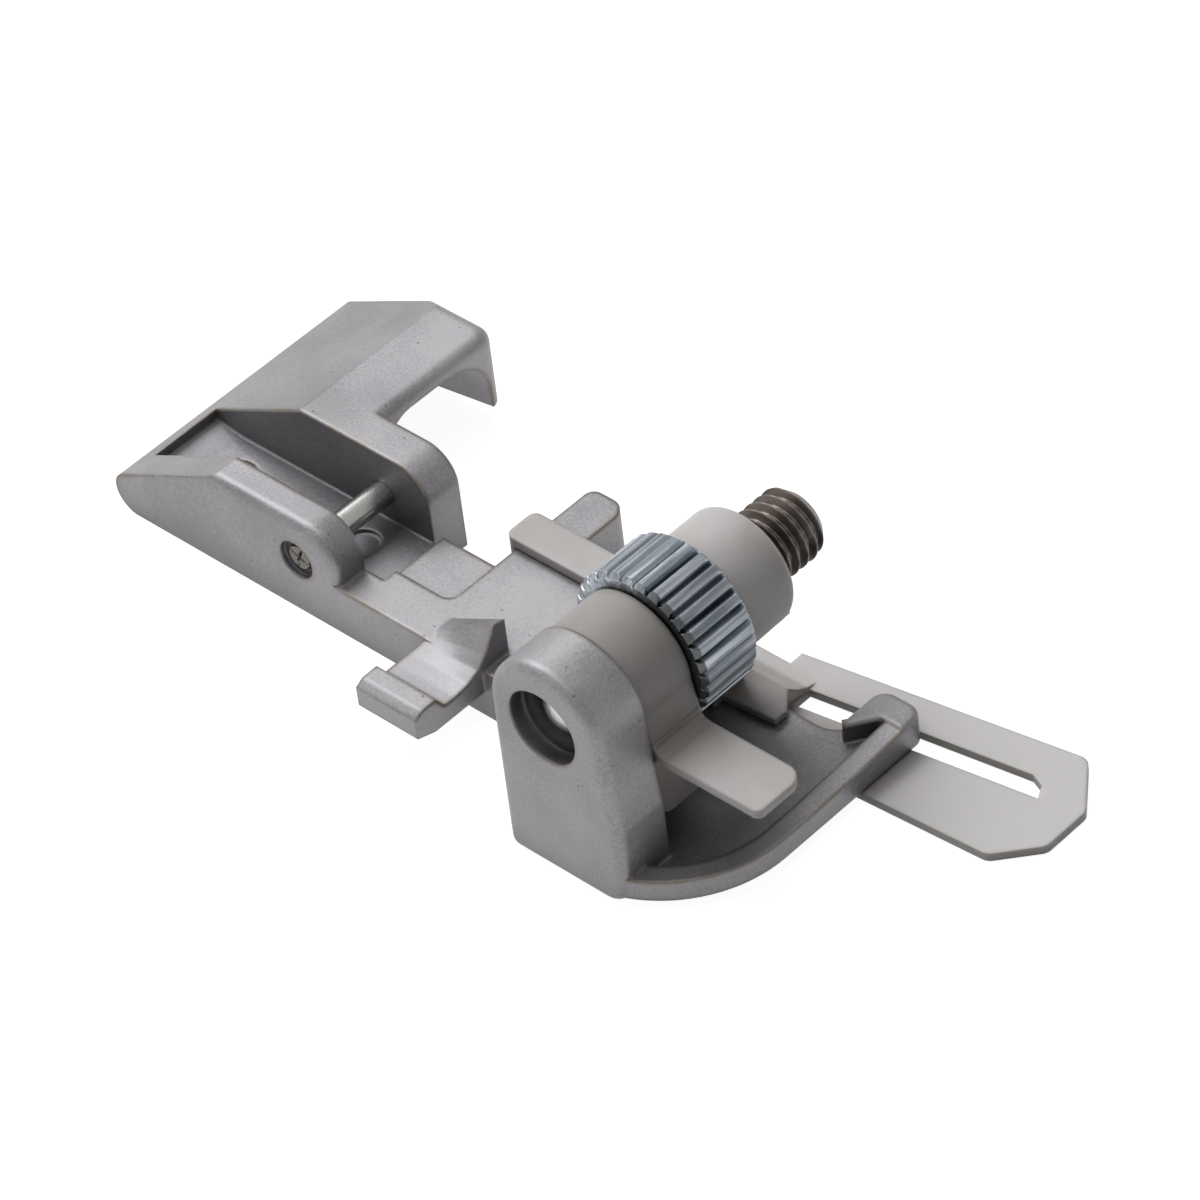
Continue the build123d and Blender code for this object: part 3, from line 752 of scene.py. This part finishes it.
@dataclass
class SnapPin:
    """Ground pin with a staked near end; sizes in millimetres, and shares of its radius."""

    centre: Pair = (0.0, 4.3)
    start: float = -4.875
    end: float = 4.35
    radius: float = 0.87
    groove: float = 0.3
    star_turn: float = 0.35
    arm_sharpness: float = 0.5
    arm_taper: float = 2.2
    star_reach: float = 1.15
    face_share: float = 0.96
    face_y: float = 0.05
    shoulder_y: float = 0.1
    middle_share: float = 0.02
    far_middle: float = 0.02
    rings: int = 16
    columns: int = 96
    finish: SteelFinish = POLISHED_PIN

    def build(self) -> bpy.types.Object:
        """Works out the pin.

        The near end is a disc that is pressed in along a four-armed star. The depth is the groove times
        one less the sine of twice the angle, which counts for more towards the rim, and times a share
        that falls off towards the rim. The side is a plain cylinder and the far end a plain disc.

        Returns:
            The pin's object.
        """
        turn = np.linspace(0.0, 2.0 * math.pi, self.columns, endpoint=False)[None, :]
        share = np.linspace(self.middle_share, 1.0, self.rings)[:, None]
        off_arm = np.abs(np.sin(2.0 * (turn + self.star_turn)))
        arm = np.clip(1.0 - off_arm * (self.arm_sharpness + self.arm_taper * share), 0.0, 1.0)
        pressed = self.groove * arm * np.clip(self.star_reach - share, 0.0, 1.0)
        face_radii = np.repeat(self.radius * self.face_share * share, self.columns, axis=1)
        plain_radii = np.array([self.radius, self.radius, self.radius, self.far_middle])[:, None]
        plain_y = np.array([self.start + self.shoulder_y, 0.0, self.end, self.end])[:, None]
        radii = np.vstack([face_radii, np.repeat(plain_radii, self.columns, axis=1)])
        along = np.vstack(
            [self.start + self.face_y + pressed, np.repeat(plain_y, self.columns, axis=1)]
        )
        points, quads = profile_round_axis(radii, along, self.centre)
        first = np.arange(self.columns)
        last = first[::-1] + (len(radii) - 1) * self.columns
        return mesh_piece("snap_pin_staked", points, quads + [first.tolist(), last.tolist()])

    def add(self, patterns: Patterns) -> bpy.types.Object:
        """Builds and dresses the pin and fixes it in the foot, for its plain solid.

        Args:
            patterns: the shared node groups.

        Returns:
            The pin's object.
        """
        pin = self.build()
        dress(pin, self.finish.build(patterns))
        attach(pin, Body.FOOT.value)
        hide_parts("snap_pin")
        return pin


@dataclass
class Stud:
    """Threaded stud fixed in the ear; sizes in millimetres."""

    centre: Pair = STUD_AXIS
    start: float = -11.1
    end: float = 10.38
    radius: float = 2.5
    depth: float = 0.42
    pitch: float = 0.8
    flank_slope: float = 1.35
    crest_flat: float = 0.12
    end_chamfer: float = 0.6
    tip_length: float = 1.0
    tip_radius: float = 1.75
    tip_least: float = 0.04
    smooth_below: float = 35.0
    columns: int = 96
    rows_per_turn: int = 16
    finish: SteelFinish = DARK_STUD

    def build(self) -> bpy.types.Object:
        """Works out the helical thread and the smooth domed near end.

        The radius falls from the crest by the depth times a triangle wave of Y over the pitch plus the
        share of the turn, flattened a little at crest and root, and never exceeds a cone at either end.
        Over the tip's length it never exceeds the tip's radius times the root of one less the square of
        the share that is still to go. A fan of triangles closes each end.

        Returns:
            The stud's object.
        """
        rows = int((self.end - self.start) / self.pitch * self.rows_per_turn)
        along = np.linspace(self.start, self.end, rows)
        turn = np.linspace(0.0, 1.0, self.columns, endpoint=False)[None, :]
        phase = np.mod(along[:, None] / self.pitch + turn, 1.0)
        wave = np.clip(np.abs(2.0 * phase - 1.0) * self.flank_slope - self.crest_flat, 0.0, 1.0)
        ends = np.minimum(self.end - along, along - self.start)[:, None]
        cone = self.radius - self.end_chamfer + ends
        radii = np.minimum(self.radius - self.depth * wave, cone)
        from_tip = (along - self.start)[:, None]
        to_go = 1.0 - np.clip(from_tip / self.tip_length, 0.0, 1.0)
        dome = self.tip_radius * np.sqrt(np.clip(1.0 - to_go**2, self.tip_least, 1.0))
        radii = np.where(from_tip < self.tip_length, np.minimum(radii, dome), radii)
        points, quads = profile_round_axis(radii, along, self.centre)
        x, z = self.centre
        hubs = np.array([(x * MM, y * MM, z * MM) for y in (self.start, self.end)])
        here = np.arange(self.columns)
        after = np.roll(here, -1)
        last = (rows - 1) * self.columns
        near = np.stack([np.full_like(here, len(points)), here, after], axis=-1)
        far = np.stack([np.full_like(here, len(points) + 1), last + after, last + here], axis=-1)
        faces = quads + near.tolist() + far.tolist()
        return mesh_piece("stud_thread", np.vstack([points, hubs]), faces, self.smooth_below)

    def add(self, patterns: Patterns) -> bpy.types.Object:
        """Builds and dresses the stud and fixes it in the foot, for its plain solid.

        Args:
            patterns: the shared node groups.

        Returns:
            The stud's object.
        """
        stud = self.build()
        dress(stud, self.finish.build(patterns))
        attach(stud, Body.FOOT.value)
        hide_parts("stud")
        return stud


@dataclass
class ThumbNut:
    """Thumb nut with straight teeth; sizes in millimetres."""

    centre: Pair = STUD_AXIS
    start: float = -3.86
    end: float = 0.94
    radius: float = 5.22
    bore: float = 2.55
    teeth: int = 30
    tooth_depth: float = 0.55
    gap_share: float = 0.4
    crown: float = 0.05
    chamfer: float = 0.35
    cone_lead: float = 0.12
    cone_slope: float = 0.9
    face_rings: Pair = (4.3, 4.5)
    cone_rows: int = 8
    land_rows: int = 8
    columns_per_tooth: int = 12
    finish: SteelFinish = ZINC_NUT

    def build(self) -> bpy.types.Object:
        """Works out the toothed ring.

        Its outline turns from the bore out over each end face, down a cone and along the teeth. A tooth's
        crest is a land that is slightly crowned, with V gaps: the radius less the depth times a triangle
        wave over the gap's share of a tooth, less the crown times a triangle wave over the whole tooth.
        The bore's wall joins the last row to the first.

        Returns:
            The nut's object.
        """
        columns = self.teeth * self.columns_per_tooth
        turn = np.linspace(0.0, 1.0, columns, endpoint=False)[None, :]
        from_gap = np.abs(np.mod(turn * self.teeth, 1.0) - 0.5) * 2.0
        gap = np.clip(1.0 - from_gap / self.gap_share, 0.0, 1.0)
        crest = self.radius - self.tooth_depth * gap - self.crown * (1.0 - from_gap)
        shoulder = self.radius - self.chamfer
        face_radii = np.array([self.bore, *self.face_rings])
        cone_radii = np.linspace(shoulder - self.cone_lead, self.radius, self.cone_rows)
        cone_drop = np.clip(cone_radii - shoulder, 0.0, None) * self.cone_slope
        low_radii = np.concatenate([face_radii, cone_radii])
        low_y = self.start + np.concatenate([np.zeros_like(face_radii), cone_drop])
        land_y = np.linspace(self.start + self.chamfer, self.end - self.chamfer, self.land_rows)
        outline = np.concatenate([low_radii, np.full_like(land_y, self.radius), low_radii[::-1]])
        along = np.concatenate([low_y, land_y, self.start + self.end - low_y[::-1]])
        radii = np.minimum(np.repeat(outline[:, None], columns, axis=1), crest)
        points, quads = profile_round_axis(radii, along, self.centre)
        here = np.arange(columns)
        after = np.roll(here, -1)
        last = (len(outline) - 1) * columns
        wall = np.stack([last + here, here, after, last + after], axis=-1)
        return mesh_piece("thumb_nut_teeth", points, quads + wall.tolist())

    def add(self, patterns: Patterns) -> bpy.types.Object:
        """Builds and dresses the nut and puts it on the nut's body, for its plain solid.

        Args:
            patterns: the shared node groups.

        Returns:
            The nut's object.
        """
        nut = self.build()
        dress(nut, self.finish.build(patterns))
        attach(nut, Body.NUT.value)
        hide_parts("thumb_nut")
        return nut


@dataclass(frozen=True)
class SoftBox:
    """Square lamp that faces the part; places and side in metres, power in watts."""

    name: str
    place: Place
    side: float
    power: float
    aim: Place = (0.01, 0.0, 0.0)

    def hang(self) -> None:
        """Hangs the lamp at its place, turned so that it faces its aim."""
        data = bpy.data.lights.new(self.name, "AREA")
        data.shape = "SQUARE"
        data.size = self.side
        data.energy = self.power
        lamp = bpy.data.objects.new(self.name, data)
        bpy.context.scene.collection.objects.link(lamp)
        toward = Vector(self.aim) - Vector(self.place)
        turned = toward.to_track_quat("-Z", "Y").to_matrix().to_4x4()
        lamp.matrix_world = Matrix.Translation(Vector(self.place)) @ turned


@dataclass
class Studio:
    """Plain pale floor, soft lights and the camera at the photograph's angle.

    The camera has its focal length in pixels of a square image, its eye in millimetres and the
    directions of its right, down and ahead. The floor's sizes are in metres.
    """

    image: int = 1200
    focal_px: float = 6323.461
    sensor: float = 36.0
    clip: Pair = (0.01, 20.0)
    eye_mm: Place = (227.73555, -188.74771, 264.09165)
    right: Place = (0.73353453, 0.67298253, -0.09498217)
    down: Place = (0.40618496, -0.54613285, -0.73263408)
    ahead: Place = (-0.54492282, 0.49883206, -0.67396268)
    floor_half: float = 3.0
    floor_z: float = -0.00002
    floor_colour: Colour = (0.45, 0.45, 0.45, 1.0)
    floor_roughness: float = 0.9
    floor_shine: float = 0.1
    floor_glow: float = 0.92
    ambient: float = 0.15
    ambient_lean: float = 0.09
    mirrored: float = 0.5
    lamps: tuple[SoftBox, ...] = (
        SoftBox("key", (-0.30, 0.06, 0.42), 0.34, 1.6),
        SoftBox("fill", (-0.16, -0.48, 0.26), 0.35, 0.22),
        SoftBox("top", (0.02, 0.0, 0.55), 0.30, 0.36),
    )

    def camera(self) -> None:
        """Places the camera: its axes are right, up and back, and its lens follows from focal_px."""
        data = bpy.data.cameras.new("camera")
        data.sensor_width = self.sensor
        data.lens = self.sensor * self.focal_px / self.image
        data.clip_start, data.clip_end = self.clip
        seen = bpy.data.objects.new("camera", data)
        bpy.context.scene.collection.objects.link(seen)
        axes = [Vector(self.right), -Vector(self.down), -Vector(self.ahead)]
        turned = Matrix([[axis[row] for axis in axes] for row in range(3)])
        seen.matrix_world = Matrix.Translation(Vector(self.eye_mm) * MM) @ turned.to_4x4()
        bpy.context.scene.camera = seen

    def floor(self) -> None:
        """Lays a wide pale floor just under the sole, seen as white away from the part's shadow."""
        half, z = self.floor_half, self.floor_z
        corners = np.array([(-half, -half, z), (half, -half, z), (half, half, z), (-half, half, z)])
        plane = mesh_piece("floor", corners, [(0, 1, 2, 3)])
        material, nodes, shader = start_material("pale_floor")
        nodes.fill(shader["Base Color"], self.floor_colour)
        nodes.fill(shader["Roughness"], self.floor_roughness)
        nodes.fill(shader["Specular IOR Level"], self.floor_shine)
        path = nodes.add("ShaderNodeLightPath").outputs
        seen = nodes.math("MAXIMUM", path["Is Camera Ray"], path["Is Glossy Ray"])
        seen = nodes.math("MAXIMUM", seen, path["Is Transmission Ray"])
        nodes.fill(shader["Emission Color"], WHITE)
        nodes.fill(shader["Emission Strength"], nodes.math("MULTIPLY", seen, self.floor_glow))
        dress(plane, material)

    def world(self) -> None:
        """Surrounds the part with pale light, white where the camera sees it.

        The light on the part is the ambient less the lean times the direction's X, so it is weaker from
        the toe's side. Glossy surfaces mirror a share of the white.
        """
        world = bpy.data.worlds.new("studio")
        world.use_nodes = True
        nodes = Nodes(world.node_tree)
        background = next(node for node in world.node_tree.nodes if node.type == "BACKGROUND")
        direction = nodes.add("ShaderNodeTexCoord").outputs["Generated"]
        toeward = nodes.add("ShaderNodeSeparateXYZ", {0: direction}).outputs["X"]
        lean = nodes.math("MULTIPLY", toeward, self.ambient_lean)
        ambient = nodes.math("SUBTRACT", self.ambient, lean)
        path = nodes.add("ShaderNodeLightPath").outputs
        seen = nodes.math("MAXIMUM", path["Is Transmission Ray"], path["Is Camera Ray"])
        mirrored = nodes.math("MULTIPLY", path["Is Glossy Ray"], self.mirrored)
        strength = nodes.math("ADD", ambient, nodes.math("MAXIMUM", seen, mirrored))
        nodes.fill(background.inputs["Color"], WHITE)
        nodes.fill(background.inputs["Strength"], strength)
        bpy.context.scene.world = world

    def build(self) -> None:
        """Sets up the whole studio."""
        self.camera()
        self.floor()
        self.world()
        for lamp in self.lamps:
            lamp.hang()
        bpy.context.scene.view_settings.view_transform = "Standard"


def main() -> None:
    """Loads the part, dresses it and sets up the studio."""
    logging.basicConfig(level=logging.INFO, format="%(message)s")
    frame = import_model()
    solids = frame["nodes"]
    patterns = Patterns(EdgeWear().build(), RecessShade().build(), CastSkin().build())
    subassemblies = (
        BodyCasting(solids["body_casting"]),
        NylonGuide(solids["guide"]),
        SnapPin(),
        Stud(),
        ThumbNut(),
    )
    for subassembly in subassemblies:
        piece = subassembly.add(patterns)
        LOG.info("%s: %d faces", piece.name, len(piece.data.polygons))

    Studio().build()


if __name__ == "__main__":
    main()
